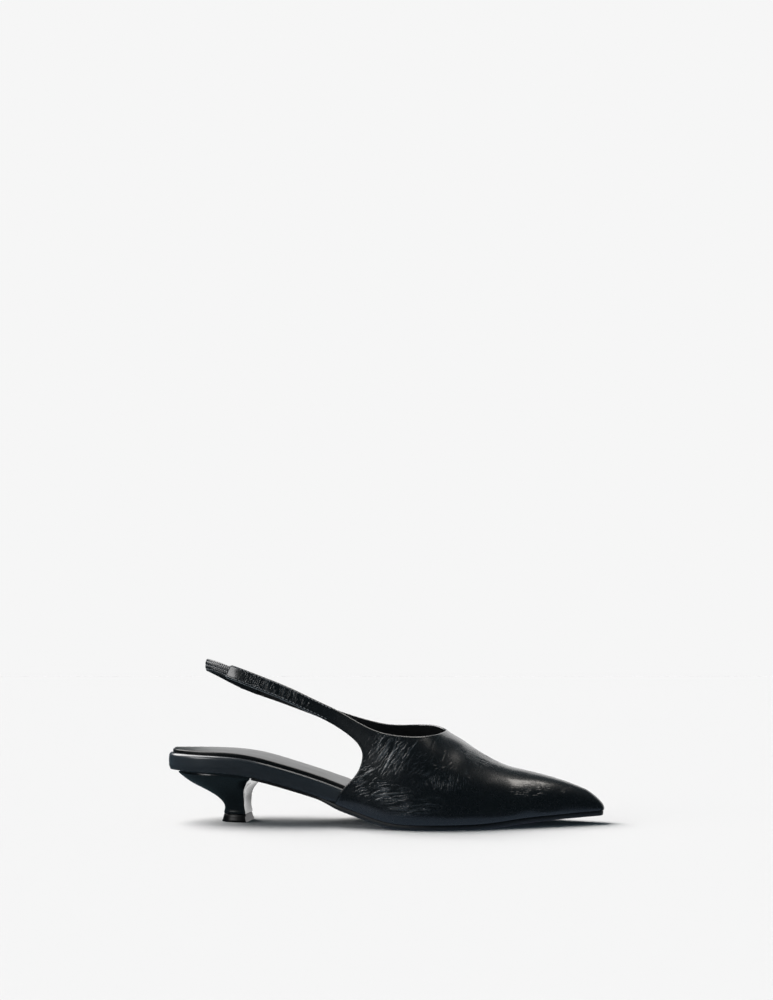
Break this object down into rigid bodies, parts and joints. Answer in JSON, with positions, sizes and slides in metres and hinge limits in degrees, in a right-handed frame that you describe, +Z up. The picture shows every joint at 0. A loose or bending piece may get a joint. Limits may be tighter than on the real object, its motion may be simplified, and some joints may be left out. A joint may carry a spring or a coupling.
{
  "type": "slingback pump",
  "caption": "Right slingback pump with a pointed vamp, open waist and heel, sling straps joined by an elastic band, padded sock, thin sole and a low curved heel.",
  "frame": {"origin": "centre of the whole shoe's box at the floor", "axes": "+X from heel to toe, +Y to the foot's inner side, +Z up"},
  "size_m": [0.262, 0.0804, 0.098],
  "materials": {
    "upper_leather": "glossy soft black leather",
    "elastic": "black shirred elastic",
    "rand_leather": "glossy black leather wrap",
    "sock_leather": "smooth black leather",
    "sole": "satin black",
    "heel_cover": "glossy black",
    "top_piece": "matt black"
  },
  "bodies": {
    "root": {"upper": "upper_leather", "heel_elastic": "elastic", "footbed": "rand_leather", "sock": "sock_leather", "outsole": "sole", "heel": "heel_cover", "top_piece": "top_piece"}
  },
  "joints": []
}
